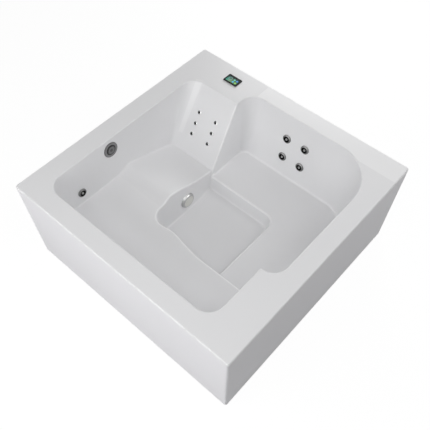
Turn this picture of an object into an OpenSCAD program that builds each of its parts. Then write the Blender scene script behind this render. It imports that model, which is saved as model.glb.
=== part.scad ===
// Square acrylic hot tub with a lounger, an L shaped bench and a footwell, on a steel frame.
// X runs along the front, Y to the back and Z up, with the origin on the floor under the middle.

/* [Overall] */
// Width of the tub along the front
tub_w = 1800; // [1700:10:1950]
// Depth of the tub from front to back
tub_d = 1800; // [1700:10:1950]
// Height of the rim above the floor
rim_h = 740; // [700:5:800]
// Radius of the upright corners of the skirt and rim
corner_r = 16; // [14:1:40]
// Radius that rolls the rim over into its lip
edge_r = 9; // [8:1:14]

/* [Rim] */
// Width of the rim on the left
rim_left = 150; // [140:1:170]
// Width of the rim at the front
rim_front = 136; // [130:1:160]
// Width of the rim at the back, behind the bench
rim_back = 135; // [130:1:160]
// Width of the rim on the right, beside the side seat
rim_right = 135; // [130:1:160]
// Width of the wide rim block at the near right corner
rim_block = 248; // [220:1:280]
// Width of the rim behind the backrest
rim_head = 293; // [270:1:330]
// Length of the wide rim block, from the front of the tub
block_len = 572; // [540:1:600]

/* [Shell] */
// Thickness of the formed acrylic shell
shell_t = 6; // [4:0.5:8]
// Height of the rim's outer lip
lip_h = 24; // [22:1:40]
// Width of the lounger at the rim
lounger_w = 427; // [400:1:450]
// Width of the footwell between lounger and side seat, at bench height
well_w = 607; // [560:1:640]
// Height of the footwell floor
floor_h = 118; // [114:1:150]
// Height of the bench and the side seat
bench_h = 235; // [215:1:260]
// Height of the foot platform
platform_h = 386; // [370:1:400]
// Rise of the knee roll above the foot platform
knee_rise = 34; // [20:1:45]
// Distance of the knee roll from the front of the tub
knee_at = 778; // [740:1:800]
// Length of the ramp in front of the knee roll
knee_ramp = 110; // [80:1:140]
// Height of the lounger's seat where it meets the backrest
seat_low = 290; // [270:1:310]
// Lean of the backrest from upright, in degrees
back_lean = 32.6; // [28:0.2:36]
// Depth of the foot platform from the front of the tub to its inner edge
platform_edge = 548; // [520:1:580]
// Distance of the bench's front edge from the front of the tub
bench_edge = 1208; // [1180:1:1240]
// Draft of the side walls, as run over height
side_draft = 0.044; // [0.03:0.002:0.06]
// Draft of the back wall
back_draft = 0.166; // [0.12:0.002:0.18]
// Draft of the right wall
right_draft = 0.1; // [0.06:0.01:0.12]
// Draft of the footwell's bench side
well_draft = 0.154; // [0.1:0.002:0.18]

/* [Corners] */
// Corner radius of the basin at the rim
basin_r = 109; // [95:1:120]
// Radius of the large back right corner at the rim
sweep_r = 320; // [280:5:340]
// Radius of the same corner at bench height
sweep_low_r = 215; // [200:5:260]
// Radius of the footwell's outer bench corner
well_r = 80; // [60:1:90]
// Radius of the platform's inner corner
platform_r = 100; // [80:1:110]

/* [Skirt] */
// Thickness of a skirt panel
panel_t = 5; // [4:0.5:6]
// Gap under the skirt panels
panel_lift = 5; // [4:1:12]
// Width of the folded edges of a skirt panel
flange_w = 32.7; // [28:0.1:36]
// Gap between neighbouring panels, and between panel and lip
panel_gap = 0.5; // [0.3:0.1:1]
// Width of a stiffening rib on a panel
rib_w = 30; // [20:1:40]

/* [Frame] */
// Width of the square frame tube
tube = 30; // [25:1:34]
// Wall of the frame tube
tube_t = 2; // [1.5:0.25:3]
// Height of the adjustable feet up to the rails
foot_h = 70; // [66:1:76]
// Radius of a foot pad
pad_r = 25; // [20:1:30]
// Radius of a foot's stud
stud_r = 6; // [5:0.5:8]
// Thickness of the boards on the frame
board_t = 12; // [10:1:14]

/* [Hydro jets] */
// Radius of a jet's bezel
bezel_r = 33; // [31:0.5:36]
// Radius of the jet bore in the shell
jet_bore_r = 26; // [25:0.5:28]
// Height of the bezel over the wall
bezel_h = 11; // [9:0.5:13]
// Radius of the eyeball nozzle
ball_r = 15; // [14:0.5:16]
// Spacing of the four bench jets, both ways
jet_pitch = 160; // [140:1:180]
// Place of the first bench jet, from the left of the tub
jet_x = 951; // [900:1:1000]
// Depth of the upper bench jets below the rim
jet_sunk = 187; // [170:1:210]
// Distance of the foot jet from the front of the tub
foot_jet_y = 351; // [320:1:380]
// Height of the foot jet over the foot platform
foot_jet_up = 92; // [80:1:110]

/* [Backrest jets] */
// Radius of a backrest jet's face
small_jet_r = 15; // [12:0.5:18]
// Radius of its bore in the shell
small_bore_r = 8.5; // [7:0.5:10]
// Distance of the first column from the left of the tub
small_x = 309; // [300:1:330]
// Distance between the two columns
small_gap = 161; // [140:1:180]
// Depth of the upper row below the rim
small_sunk = 171; // [160:1:190]
// Drop from row to row
small_drop = 73; // [60:1:80]

/* [Overflow] */
// Radius of the overflow rosette
rosette_r = 58; // [54:1:62]
// Radius of the overflow bore
overflow_bore_r = 30; // [26:1:34]
// Distance of the overflow from the front of the tub
overflow_y = 664; // [640:1:690]
// Depth of the overflow below the rim
overflow_sunk = 91; // [87:1:110]

/* [Suction] */
// Radius of the suction cover
suction_r = 63; // [58:1:66]
// Height of the suction cover over the wall
suction_h = 22; // [16:1:26]
// Radius of the suction bore
suction_bore_r = 30; // [26:1:32]
// Distance of the suction from the front of the tub
suction_y = 922; // [880:1:960]
// Height of the suction
suction_z = 228; // [210:1:236]

/* [Touch panel] */
// Width of the touch panel
screen_w = 120; // [100:1:140]
// Depth of the touch panel
screen_d = 80; // [70:1:90]
// Height of the touch panel over the rim
screen_h = 8; // [6:0.5:10]
// Distance of its middle from the left of the tub
screen_x = 397; // [360:1:430]
// Distance of its middle from the back of the tub
screen_y = 134; // [120:1:160]

/* [Pump and blower] */
// Radius of the pump motor
motor_r = 72; // [64:1:76]
// Length of the pump motor
motor_len = 210; // [180:5:240]
// Radius of the pump's volute
volute_r = 85; // [78:1:88]
// Radius of the pump shaft
shaft_r = 10; // [8:0.5:12]
// Radius of the water pipes
pipe_r = 16; // [12:1:18]
// Radius of the air pipes
air_r = 10; // [8:0.5:12]
// Radius of the blower
blower_r = 80; // [70:1:90]
// Height of the blower
blower_h = 150; // [130:5:170]
// Pump's wet end, from the left side of the tub
pump_from_left = 720; // [700:10:760]
// Pump's axis, from the front of the tub
pump_from_front = 300; // [290:5:310]
// Blower's middle, from the right side of the tub
blower_from_right = 126; // [124:1:150]
// Blower's middle, from the front of the tub
blower_from_front = 260; // [240:5:300]
// Control box, from the left side of the tub
box_from_left = 1060; // [1040:10:1120]
// Waste valve's middle, from the front of the tub
valve_from_front = 250; // [240:5:280]

/* [Clearances] */
// Clearance between parts that sit in each other
fit = 0.3; // [0.2:0.05:0.5]
// Radial running clearance of a shaft
running = 0.06; // [0.04:0.01:0.1]

/* [Hidden] */
$fn = 64;
SMOOTH = 32;
EPS = 0.01;

left = -tub_w / 2;
right = tub_w / 2;
front = -tub_d / 2;
back = tub_d / 2;

basin_left = left + rim_left;
basin_front = front + rim_front;
basin_back = back - rim_back;
basin_right = right - rim_right;
block_x = right - rim_block;
block_y = front + block_len;
head_y = back - rim_head;
bay_left = basin_left + lounger_w;
edge_y = front + platform_edge;
bench_y = front + bench_edge;
well_left = bay_left + 29;
well_right = well_left + well_w;
knee_y = front + knee_at;
lean = tan(back_lean);
seat_y = head_y - (rim_h - seat_low) * lean;
back_angle = atan(back_draft);
side_angle = atan(side_draft);

board_z = foot_h + tube;
rail_in = 38;
rail_x = right - rail_in;
rail_y = back - rail_in;
lip_z = rim_h - lip_h;
panel_top = lip_z - panel_gap;

JETS = [1, 2, 3, 4, 5];

knee_z = platform_h + knee_rise;
jet_top = rim_h - jet_sunk;
foot_jet_z = platform_h + foot_jet_up;
small_top = rim_h - small_sunk;
overflow_z = rim_h - overflow_sunk;
screen_at = [left + screen_x, back - screen_y];

// Lap of one pocket of the basin into the next, and small corners inside the laps
pocket_lap = 13;
small_r = 2;
cove_r = 55;
basin_low_r = 88;
side_r = 40;
nook_r = 15;
well_side = 0.026;
seat_dip = 90;
knee_soft = 0.08;
SEAT_STEPS = 9;
RAMP_STEPS = 5;

bearer_gap = 400;
pad_h = 8;
nut_h = 8;
clip_w = 18;
clip_t = 3;

gasket_t = 1.5;
flange_top = 4;
throat_r = 21;
jet_depth = 46;
jet_nut_h = 10;
port_z = 30;
port_r = 12;
main_drop = 82;
sleeve_h = 24;
dish_r = 21;
ball_z = -3;
ball_cut = 9;
tip_r = 7;
small_port_r = 4;
small_stem = 26;
manifold_up = 60;

elbow_t = 3;
drop_r = 14;
drop_z = 58;
suck_r = 18;
suck_z = 50;
screen_lap = 8;
screen_deep = 30;

wall = 6;
volute_w = 66;
inlet_len = 40;
fin_h = 6;
fan_len = 50;
rotor_r = 42;
impeller_r = 68;
pump_x = left + pump_from_left;
pump_y = front + pump_from_front;
axis_h = suction_z - board_z - board_t;
heater_r = 26;
heater_len = 360;
heater_from_pump = 60;
heater_x = pump_x - heater_from_pump;
heater_y = pump_y - volute_r + pipe_r + 6;
heater_z = platform_h - shell_t - heater_r - 24;
outlet_h = heater_z - pipe_r - elbow_t - board_z - board_t - axis_h - 5;
blower_x = right - blower_from_right;
blower_y = front + blower_from_front;
blower_shaft_r = 6;
box_x = left + box_from_left;
box_w = 300;
box_d = 110;
box_h = 200;
gland_r = 12;
valve_y = front + valve_from_front;
valve_up = 50;
valve_z = board_z + board_t + valve_up;
valve_len = 60;
valve_bend = 40;
waste_y = valve_y - valve_len / 2 - valve_bend;
spigot_len = 40;
spigot_r = 12;
lever_len = 60;
manifold_z = jet_top - jet_pitch / 2 - port_z * sin(back_angle);
manifold_y = basin_back - deep(jet_top - jet_pitch / 2) * back_draft + port_z * cos(back_angle);
air_end_y = back - rail_in - 2 * tube - 2;

// One pocket of the basin. Each level is [z, x0, x1, y0, y1, [r of the four corners]].
module pocket(low, high, g) {
    hull() {
        for (l = [low, high]) {
            for (i = [0:3]) {
                r = l[5][i] + g;
                cx = (i == 0 || i == 3) ? l[1] - g + r : l[2] + g - r;
                cy = (i < 2) ? l[3] - g + r : l[4] + g - r;
                translate([cx, cy, l[0]]) cylinder(r = r, h = EPS, $fn = SMOOTH);
            }
        }
    }
}

// How far below the rim a level lies.
function deep(z) = rim_h - z;

// The lounger and foot platform, walls only.
function lounge_level(z, g, r_front, r_back) = [
    z,
    basin_left + deep(z) * side_draft,
    block_x - deep(z) * side_draft,
    basin_front + deep(z) * side_draft,
    head_y - deep(z) * lean + g * (1 / cos(back_lean) - 1),
    [r_front, r_front, r_back, r_back]
];

// The back bench, from the lounger's side to the right wall.
function bench_level(z, r_left, r_sweep) = [
    z,
    bay_left + deep(z) * side_draft,
    basin_right - deep(z) * right_draft,
    bench_y - pocket_lap,
    basin_back - deep(z) * back_draft,
    [small_r, small_r, r_sweep, r_left]
];

// The side seat along the right wall.
function side_level(z) = [
    z,
    well_right - pocket_lap,
    basin_right - deep(z) * right_draft,
    block_y + deep(z) * side_draft,
    bench_y + pocket_lap,
    [small_r, basin_r, small_r, small_r]
];

// The footwell, down to its floor.
function well_level(z) = [
    z,
    well_left + (bench_h - z) * well_side,
    well_right + (z - bench_h) * well_draft,
    edge_y + (platform_h - z) * side_draft,
    bench_y + (z - bench_h) * well_draft,
    [platform_r, side_r, well_r, nook_r]
];

// Height of the seat along the lounger, from the foot platform over the knee roll to the backrest.
function soft(t) = t * t * (3 - 2 * t);
function seat_z(y) =
    y < knee_y - knee_ramp ? platform_h
    : y < knee_y ? platform_h + knee_rise * soft((y - knee_y + knee_ramp) / knee_ramp)
    : let (t = min((y - knee_y) / (seat_y - knee_y), 1))
      knee_z - (knee_z - seat_low) * (1 + knee_soft) * t * t / (t + knee_soft);
seat_line = concat(
    [[front, platform_h]],
    [for (i = [0:RAMP_STEPS]) let (y = knee_y - knee_ramp + knee_ramp * i / RAMP_STEPS) [y, seat_z(y)]],
    [for (i = [1:SEAT_STEPS]) let (y = knee_y + (seat_y - knee_y) * i / SEAT_STEPS) [y, seat_z(y)]],
    [[back, seat_low - (back - seat_y) / 4]]
);

// All the room over the seat line, lowered by g.
module over_seat(g, top) {
    translate([left, 0, 0])
        rotate([90, 0, 90])
        linear_extrude(height = tub_w)
        polygon(concat([for (p = seat_line) [p[0], p[1] - g]], [[back, top], [front, top]]));
}

// The basin grown outward by g. At 0 it is the water side, at the shell's thickness its back.
module basin(g, top) {
    intersection() {
        pocket(
            lounge_level(seat_low - seat_dip - g, g, basin_low_r, cove_r),
            lounge_level(top, g, basin_r, basin_r),
            g
        );
        over_seat(g, top + 1);
    }
    pocket(bench_level(bench_h - g, cove_r, sweep_low_r), bench_level(top, basin_r, sweep_r), g);
    pocket(side_level(bench_h - g), side_level(top), g);
    translate([well_right - pocket_lap - g, edge_y - g, bench_h - g])
        cube([
            block_x - deep(platform_h) * side_draft - well_right + pocket_lap + 2 * g,
            block_y - edge_y + basin_r,
            platform_h - bench_h
        ]);
}

// The back of the footwell, with plain upright walls under the lounger and the benches.
module well_back() {
    w = well_level(bench_h);
    reach = [w[2] - w[1], w[4] - w[3]];
    translate([w[1] - shell_t, w[3] - shell_t, floor_h - shell_t])
        cube([reach[0] + 2 * shell_t, reach[1] + 2 * shell_t, bench_h - floor_h + EPS]);
    translate([w[1] - shell_t, w[3] - shell_t, bench_h - shell_t])
        cube([3 * shell_t, reach[1], knee_z - bench_h]);
    translate([w[1] - shell_t, edge_y - shell_t, bench_h - shell_t])
        cube([reach[0] + 2 * shell_t, 3 * shell_t, platform_h - bench_h]);
}

// Section through the rolled edge of the rim, out from the corner's middle.
module rim_section() {
    translate([0, rim_h - shell_t])
        square([corner_r - edge_r, shell_t]);
    translate([corner_r - edge_r, rim_h - edge_r])
        intersection() {
            difference() {
                circle(r = edge_r);
                circle(r = edge_r - shell_t);
            }
            square(edge_r);
        }
    translate([corner_r - shell_t, lip_z])
        square([shell_t, lip_h - edge_r]);
}

// The flat rim with its rolled edge and lip all round.
module rim() {
    cx = right - corner_r;
    cy = back - corner_r;
    for (c = [[cx, cy, 0], [-cx, cy, 90], [-cx, -cy, 180], [cx, -cy, 270]])
        translate([c[0], c[1], 0])
            rotate([0, 0, c[2]])
            rotate_extrude(angle = 90)
            rim_section();
    for (s = [[0, cx, cy], [90, cy, cx], [180, cx, cy], [270, cy, cx]])
        rotate([0, 0, s[0]])
            translate([s[1], s[2], 0])
            rotate([90, 0, 0])
            linear_extrude(height = 2 * s[2])
            rim_section();
    translate([-cx, -cy, rim_h - shell_t])
        cube([2 * cx, 2 * cy, shell_t]);
}

// Places children on the wall at hydro jet i, with local Z out of the wall into the water.
// Jet 1 is in the left wall at the feet, and jets 2 to 5 are in the back wall.
function jet_row(i) = floor((i - 2) / 2);
function jet_height(i) = i == 1 ? foot_jet_z : jet_top - jet_row(i) * jet_pitch;
function jet_place(i) = i == 1
    ? [basin_left + deep(foot_jet_z) * side_draft, front + foot_jet_y, foot_jet_z]
    : [left + jet_x + (i % 2) * jet_pitch, basin_back - deep(jet_height(i)) * back_draft, jet_height(i)];
module at_jet(i) {
    translate(jet_place(i))
        rotate(i == 1 ? [0, 90 - side_angle, 0] : [90 - back_angle, 0, 0])
        children();
}

// Places children on the backrest at small jet [column, row].
module at_small_jet(c, r) {
    z = small_top - r * small_drop;
    translate([left + small_x + c * small_gap, head_y - deep(z) * lean, z])
        rotate([90 - back_lean, 0, 0])
        children();
}

// Places children on the left wall at the overflow.
module at_overflow() {
    translate([basin_left + deep(overflow_z) * side_draft, front + overflow_y, overflow_z])
        rotate([0, 90 - side_angle, 0])
        children();
}

// Places children on the footwell's left wall at the suction.
module at_suction() {
    translate([well_left + (bench_h - suction_z) * well_side, front + suction_y, suction_z])
        rotate([0, 90 - atan(well_side), 0])
        children();
}

module tube_ring(r_out, r_in, z0, z1) {
    translate([0, 0, z0])
        difference() {
            cylinder(r = r_out, h = z1 - z0);
            translate([0, 0, -1]) cylinder(r = r_in, h = z1 - z0 + 2);
        }
}

module tub_shell() {
    color("whitesmoke")
        difference() {
            union() {
                rim();
                basin(shell_t, rim_h - 1);
                well_back();
            }
            basin(0, rim_h + edge_r);
            pocket(well_level(floor_h), well_level(knee_z + edge_r), 0);
            for (i = JETS)
                at_jet(i) cylinder(r = jet_bore_r, h = 6 * shell_t, center = true);
            for (c = [0, 1])
                for (r = [0:2])
                    at_small_jet(c, r) cylinder(r = small_bore_r, h = 6 * shell_t, center = true);
            at_overflow() cylinder(r = overflow_bore_r, h = 6 * shell_t, center = true);
            at_suction() cylinder(r = suction_bore_r, h = 6 * shell_t, center = true);
            translate([screen_at[0], screen_at[1], rim_h])
                cube([screen_w - 2 * screen_lap, screen_d - 2 * screen_lap, 6 * shell_t], center = true);
        }
}

// Plan of a square with round corners.
module rounded(w, d, r) {
    square([w - 2 * r, d], center = true);
    square([w, d - 2 * r], center = true);
    for (x = [-1, 1])
        for (y = [-1, 1])
            translate([x * (w / 2 - r), y * (d / 2 - r)]) circle(r = r);
}

// One skirt panel facing down its own -Y. w is its width and d its distance from the tub's middle.
module skirt_panel(w, d) {
    depth = 2 * d;
    color("gainsboro")
        intersection() {
            union() {
                translate([0, 0, panel_lift])
                    linear_extrude(height = panel_top - panel_lift)
                    difference() {
                        rounded(w, depth, corner_r);
                        rounded(w - 2 * panel_t, depth - 2 * panel_t, corner_r - panel_t);
                    }
                for (z = [board_z - tube / 2, rim_h - shell_t - tube])
                    translate([-w / 2 + 2 * tube, -d + panel_t / 2, z])
                        cube([w - 4 * tube, flange_w, panel_t]);
                for (x = [-1, 0, 1])
                    translate([x * w / 3 - rib_w / 2, -d + panel_t / 2, board_z - tube / 2])
                        cube([rib_w, flange_w / 2, rim_h - shell_t - tube / 2 - board_z]);
            }
            translate([0, -panel_gap, 0])
                linear_extrude(height = rim_h)
                polygon([[-w / 2, -d], [-w / 2 + corner_r, -d - 1], [w / 2, -d - 1], [w / 2, -d],
                    [0, -d + w / 2], [-w / 2, -d]]);
        }
}

module front_panel() {
    skirt_panel(tub_w, back);
}

module back_panel() {
    rotate([0, 0, 180]) skirt_panel(tub_w, back);
}

module left_panel() {
    rotate([0, 0, 270]) skirt_panel(tub_d, right);
}

module right_panel() {
    rotate([0, 0, 90]) skirt_panel(tub_d, right);
}

// A square tube from the origin along X.
module box_tube(len) {
    difference() {
        cube([len, tube, tube]);
        translate([-1, tube_t, tube_t])
            cube([len + 2, tube - 2 * tube_t, tube - 2 * tube_t]);
    }
}

// A square tube along Y.
module box_tube_y(len) {
    translate([tube, 0, 0]) rotate([0, 0, 90]) box_tube(len);
}

// A square tube upright.
module box_tube_z(len) {
    rotate([0, -90, 0]) translate([0, 0, -tube]) box_tube(len);
}

// Four tubes round the tub, with their lower faces at z.
module rail_ring(z) {
    for (y = [-rail_y, rail_y - tube])
        translate([-rail_x, y, z]) box_tube(2 * rail_x);
    for (x = [-rail_x, rail_x - tube])
        translate([x, -rail_y + tube, z]) box_tube_y(2 * (rail_y - tube));
}

module bottom_rails() {
    color("silver")
        difference() {
            rail_ring(foot_h);
            at_feet() cylinder(r = stud_r + fit, h = 3 * tube, center = true);
        }
}

module top_rails() {
    color("silver") rail_ring(rim_h - shell_t - tube);
}

upright_at = [
    for (x = [-1, 1]) for (y = [-1, 1]) [x * (rail_x - tube / 2), y * (rail_y - tube / 2)],
    for (x = [-1, 1]) [x * (rail_x - tube / 2), 0],
    for (y = [-1, 1]) [0, y * (rail_y - tube / 2)]
];

module uprights() {
    color("silver")
        for (p = upright_at)
            translate([p[0] - tube / 2, p[1] - tube / 2, board_z])
                box_tube_z(rim_h - shell_t - tube - board_z);
}

bearer_at = [-1.5 * bearer_gap, -0.5 * bearer_gap, 0.5 * bearer_gap, 1.5 * bearer_gap];

module floor_bearers() {
    color("silver")
        difference() {
            for (x = bearer_at)
                translate([x - tube / 2, -rail_y + tube, foot_h]) box_tube_y(2 * (rail_y - tube));
            at_feet() cylinder(r = stud_r + fit, h = 3 * tube, center = true);
        }
}

module floor_board() {
    w = well_level(bench_h);
    color("tan")
        translate([w[1], w[3], board_z])
        cube([w[2] - w[1], w[4] - w[3], floor_h - shell_t - board_z]);
}

module equipment_board() {
    color("tan")
        translate([-rail_x + tube, -rail_y + tube, board_z])
        difference() {
            cube([2 * (rail_x - tube), edge_y - shell_t + rail_y - tube - 1, board_t]);
            translate([rail_x - tube + overflow_drop[0], rail_y - tube + waste_y, -1])
                cylinder(r = drop_r + elbow_t, h = board_t + 2);
        }
}

feet_at = [
    for (x = [-1, 1]) for (y = [-1, 0, 1]) [x * (rail_x - tube / 2), y * (rail_y - 3 * tube)],
    for (x = [-0.5, 0.5]) for (y = [-1, 1]) [x * bearer_gap, y * (rail_y - tube / 2)],
    for (x = [-0.5, 0.5]) [x * bearer_gap, 0]
];

module at_feet() {
    for (p = feet_at)
        translate([p[0], p[1], foot_h]) children();
}

module foot_pads() {
    color("dimgray")
        at_feet()
        translate([0, 0, -foot_h])
        difference() {
            union() {
                cylinder(r = pad_r, h = pad_h);
                translate([0, 0, pad_h]) cylinder(r1 = pad_r - 4, r2 = stud_r + 4, h = pad_h);
            }
            translate([0, 0, pad_h / 2]) cylinder(r = stud_r + fit, h = 2 * pad_h);
        }
}

module foot_studs() {
    color("silver")
        at_feet()
        translate([0, 0, pad_h / 2 + fit - foot_h])
        cylinder(r = stud_r, h = foot_h + tube / 2 - pad_h / 2);
}

module foot_nuts() {
    color("silver")
        at_feet()
        translate([0, 0, -nut_h - fit])
        difference() {
            cylinder(r = stud_r + 5, h = nut_h, $fn = 6);
            translate([0, 0, -1]) cylinder(r = stud_r + fit, h = nut_h + 2);
        }
}

// Angle clips that hold the panels' lower flanges to the bottom rails.
module panel_clips() {
    color("silver")
        for (s = [[0, tub_w, rail_y], [90, tub_d, rail_x], [180, tub_w, rail_y], [270, tub_d, rail_x]])
            rotate([0, 0, s[0]])
            for (x = [-1, 1])
            translate([x * s[1] / 6 - rib_w / 2, -s[2] - clip_w, board_z - tube / 2 + panel_t + fit]) {
                cube([rib_w, clip_w - fit, clip_t]);
                translate([0, clip_w - clip_t - fit, 0]) cube([rib_w, clip_t, tube / 3]);
            }
}

module hydro_jet_gaskets() {
    color("dimgray")
        for (i = JETS)
            at_jet(i) tube_ring(bezel_r - 2, jet_bore_r, 0, gasket_t);
}

module hydro_jet_nuts() {
    color("ghostwhite")
        for (i = JETS)
            at_jet(i)
            translate([0, 0, -shell_t - 1 - jet_nut_h])
            difference() {
                cylinder(r = bezel_r + 3, h = jet_nut_h, $fn = 8);
                translate([0, 0, -1]) cylinder(r = jet_bore_r + fit, h = jet_nut_h + 2);
            }
}

// How far jet i's port reaches from its axis, short of its supply pipe by a hair.
function port_reach(i) = (i == 1 ? main_drop : jet_pitch / 2 / cos(back_angle)) - pipe_r - 2 * fit;

// The flanged body that clamps through the shell, with its closed back and its water port.
// The port points down the wall on the upper jets and at the foot, and up on the lower jets.
module hydro_jet_body(i) {
    turn = i == 1 ? -90 : jet_row(i) == 0 ? 180 : 0;
    color("ghostwhite")
        at_jet(i) {
            tube_ring(bezel_r - 2, throat_r, gasket_t, flange_top);
            tube_ring(jet_bore_r - fit, throat_r, -jet_depth, gasket_t);
            translate([0, 0, -jet_depth - 2 * gasket_t])
                cylinder(r = jet_bore_r - fit, h = 2 * gasket_t);
            rotate([0, 0, turn])
                translate([0, throat_r + gasket_t, -port_z])
                rotate([-90, 0, 0])
                tube_ring(port_r, port_r - 2, 0, port_reach(i) - throat_r - gasket_t);
        }
}

// The bezel that turns to set the flow, with the socket of the eyeball in its sleeve.
module hydro_jet_bezel(i) {
    seat_r = ball_r + fit;
    color("silver")
        at_jet(i)
        difference() {
            rotate_extrude()
                polygon([
                    [0, -sleeve_h], [throat_r - fit, -sleeve_h], [throat_r - fit, flange_top + fit],
                    [bezel_r - 2 + fit, flange_top + fit], [bezel_r - 2 + fit, fit], [bezel_r, fit],
                    [bezel_r, bezel_h / 2], [dish_r + 2, bezel_h], [dish_r, bezel_h],
                    [ball_r * 0.88, ball_z + ball_r / 2], [0, ball_z + ball_r / 2]
                ]);
            translate([0, 0, ball_z]) sphere(r = seat_r);
            translate([0, 0, -sleeve_h - 1]) cylinder(r = ball_r * 0.8, h = sleeve_h + ball_z);
        }
}

// The eyeball that tilts to aim the stream, with its bore and raised tip.
module hydro_jet_nozzle(i) {
    color("dimgray")
        at_jet(i)
        translate([0, 0, ball_z])
        difference() {
            union() {
                intersection() {
                    sphere(r = ball_r);
                    cylinder(r = ball_r + 1, h = 2 * ball_cut, center = true);
                }
                translate([0, 0, ball_cut - 1])
                    cylinder(r1 = tip_r + 1, r2 = tip_r, h = bezel_h - ball_z - ball_cut + 1);
            }
            cylinder(r = tip_r - 2, h = 4 * ball_r, center = true);
        }
}

module hydro_jet_1_body() hydro_jet_body(1);
module hydro_jet_2_body() hydro_jet_body(2);
module hydro_jet_3_body() hydro_jet_body(3);
module hydro_jet_4_body() hydro_jet_body(4);
module hydro_jet_5_body() hydro_jet_body(5);
module hydro_jet_1_bezel() hydro_jet_bezel(1);
module hydro_jet_2_bezel() hydro_jet_bezel(2);
module hydro_jet_3_bezel() hydro_jet_bezel(3);
module hydro_jet_4_bezel() hydro_jet_bezel(4);
module hydro_jet_5_bezel() hydro_jet_bezel(5);
module hydro_jet_1_nozzle() hydro_jet_nozzle(1);
module hydro_jet_2_nozzle() hydro_jet_nozzle(2);
module hydro_jet_3_nozzle() hydro_jet_nozzle(3);
module hydro_jet_4_nozzle() hydro_jet_nozzle(4);
module hydro_jet_5_nozzle() hydro_jet_nozzle(5);

// Fixed small jets, a domed face with its bore on a threaded stem.
module backrest_jets() {
    color("silver")
        for (c = [0, 1])
            for (r = [0:2])
                at_small_jet(c, r)
                rotate_extrude()
                polygon([
                    [small_port_r, -small_stem], [small_bore_r - fit, -small_stem], [small_bore_r - fit, 0],
                    [small_jet_r, 0], [small_jet_r, 1.5], [small_jet_r - 2, 3], [small_port_r + 4, 4],
                    [small_port_r, 2.5]
                ]);
}

module backrest_jet_nuts() {
    color("ghostwhite")
        for (c = [0, 1])
            for (r = [0:2])
                at_small_jet(c, r)
                translate([0, 0, -shell_t - nut_h])
                difference() {
                    cylinder(r = small_bore_r + 6, h = nut_h - fit, $fn = 6);
                    translate([0, 0, -1]) cylinder(r = small_bore_r, h = nut_h + 2);
                }
}

// Round elbow at b between the runs from a and to c, with its seam on the outside of the turn.
module elbow(a, b, c, r) {
    u = (b - a) / norm(b - a);
    v = (c - b) / norm(c - b);
    x = (u - v) / norm(u - v);
    z = cross(u, v) / norm(cross(u, v));
    y = cross(z, x);
    multmatrix([[x[0], y[0], z[0], b[0]], [x[1], y[1], z[1], b[1]], [x[2], y[2], z[2], b[2]]])
        sphere(r = r);
}

// A pipe of straight runs through the points, with a thicker elbow fitting at each turn.
// The runs pass each turn by lap.
module run(points, r, lap = 0) {
    last = len(points) - 2;
    for (i = [0:last]) {
        a = points[i];
        v = points[i + 1] - a;
        low = i > 0 ? lap : 0;
        translate(a)
            rotate([0, acos(v[2] / norm(v)), atan2(v[1], v[0])])
            translate([0, 0, -low])
            cylinder(r = r, h = norm(v) + low + (i < last ? lap : 0));
    }
    if (len(points) > 2)
        for (i = [1:len(points) - 2])
            elbow(points[i - 1], points[i], points[i + 1], r + elbow_t);
}

// Two pipes behind the columns of small jets and one across their tops.
module backrest_manifold() {
    low = -2 * small_drop / cos(back_lean) - 2 * air_r;
    color("ghostwhite")
        for (c = [0, 1])
            at_small_jet(c, 0)
            translate([0, 0, -small_stem - fit - air_r]) {
                run([[0, low, 0], [0, manifold_up, 0], [(0.5 - c) * small_gap, manifold_up, 0]], air_r);
                if (c == 0)
                    translate([small_gap / 2, manifold_up, 0])
                    rotate([0, 90, 0])
                    cylinder(r = air_r + elbow_t, h = tube, center = true);
            }
}

// Ring, recess and cap of the overflow, as turned parts.
module overflow_rosette() {
    cap_r = rosette_r * 0.52;
    color("gray")
        at_overflow() {
            rotate_extrude()
                polygon([
                    [overflow_bore_r - 2 - fit, 0], [rosette_r, 0], [rosette_r, 3], [rosette_r - 3, 6],
                    [rosette_r - 10, 7], [rosette_r - 14, 5], [cap_r + 8, 5], [cap_r + 6, 3],
                    [overflow_bore_r - 2 - fit, 3]
                ]);
            for (a = [0:60:300])
                rotate([0, 0, a])
                    translate([overflow_bore_r - 12, -2, 2])
                    cube([16, 4, 3]);
            translate([0, 0, 2])
                rotate_extrude()
                polygon([
                    [0, 0], [overflow_bore_r - 10, 0], [cap_r, 4], [cap_r, 7], [cap_r - 3, 8],
                    [cap_r - 8, 6.5], [6, 6.5], [5, 8], [0, 8]
                ]);
        }
}

// The housing behind the overflow, open to the front, with its waste outlet below.
module overflow_body() {
    color("ghostwhite")
        at_overflow() {
            tube_ring(overflow_bore_r - fit, overflow_bore_r - 4, -2 * shell_t - nut_h - 2, -fit);
            tube_ring(overflow_bore_r + 2, overflow_bore_r - 4, -drop_z - drop_r - 4, -2 * shell_t - nut_h - 2);
            translate([0, 0, -drop_z - drop_r - 7]) cylinder(r = overflow_bore_r + 2, h = 3);
            rotate([0, 0, -90])
                translate([0, overflow_bore_r - 2, -drop_z])
                rotate([-90, 0, 0])
                tube_ring(drop_r + 3, drop_r, 0, drop_r);
        }
}

module overflow_nut() {
    color("ghostwhite")
        at_overflow()
        translate([0, 0, -shell_t - nut_h - fit])
        difference() {
            cylinder(r = overflow_bore_r + 9, h = nut_h, $fn = 8);
            translate([0, 0, -1]) cylinder(r = overflow_bore_r, h = nut_h + 2);
        }
}

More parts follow.
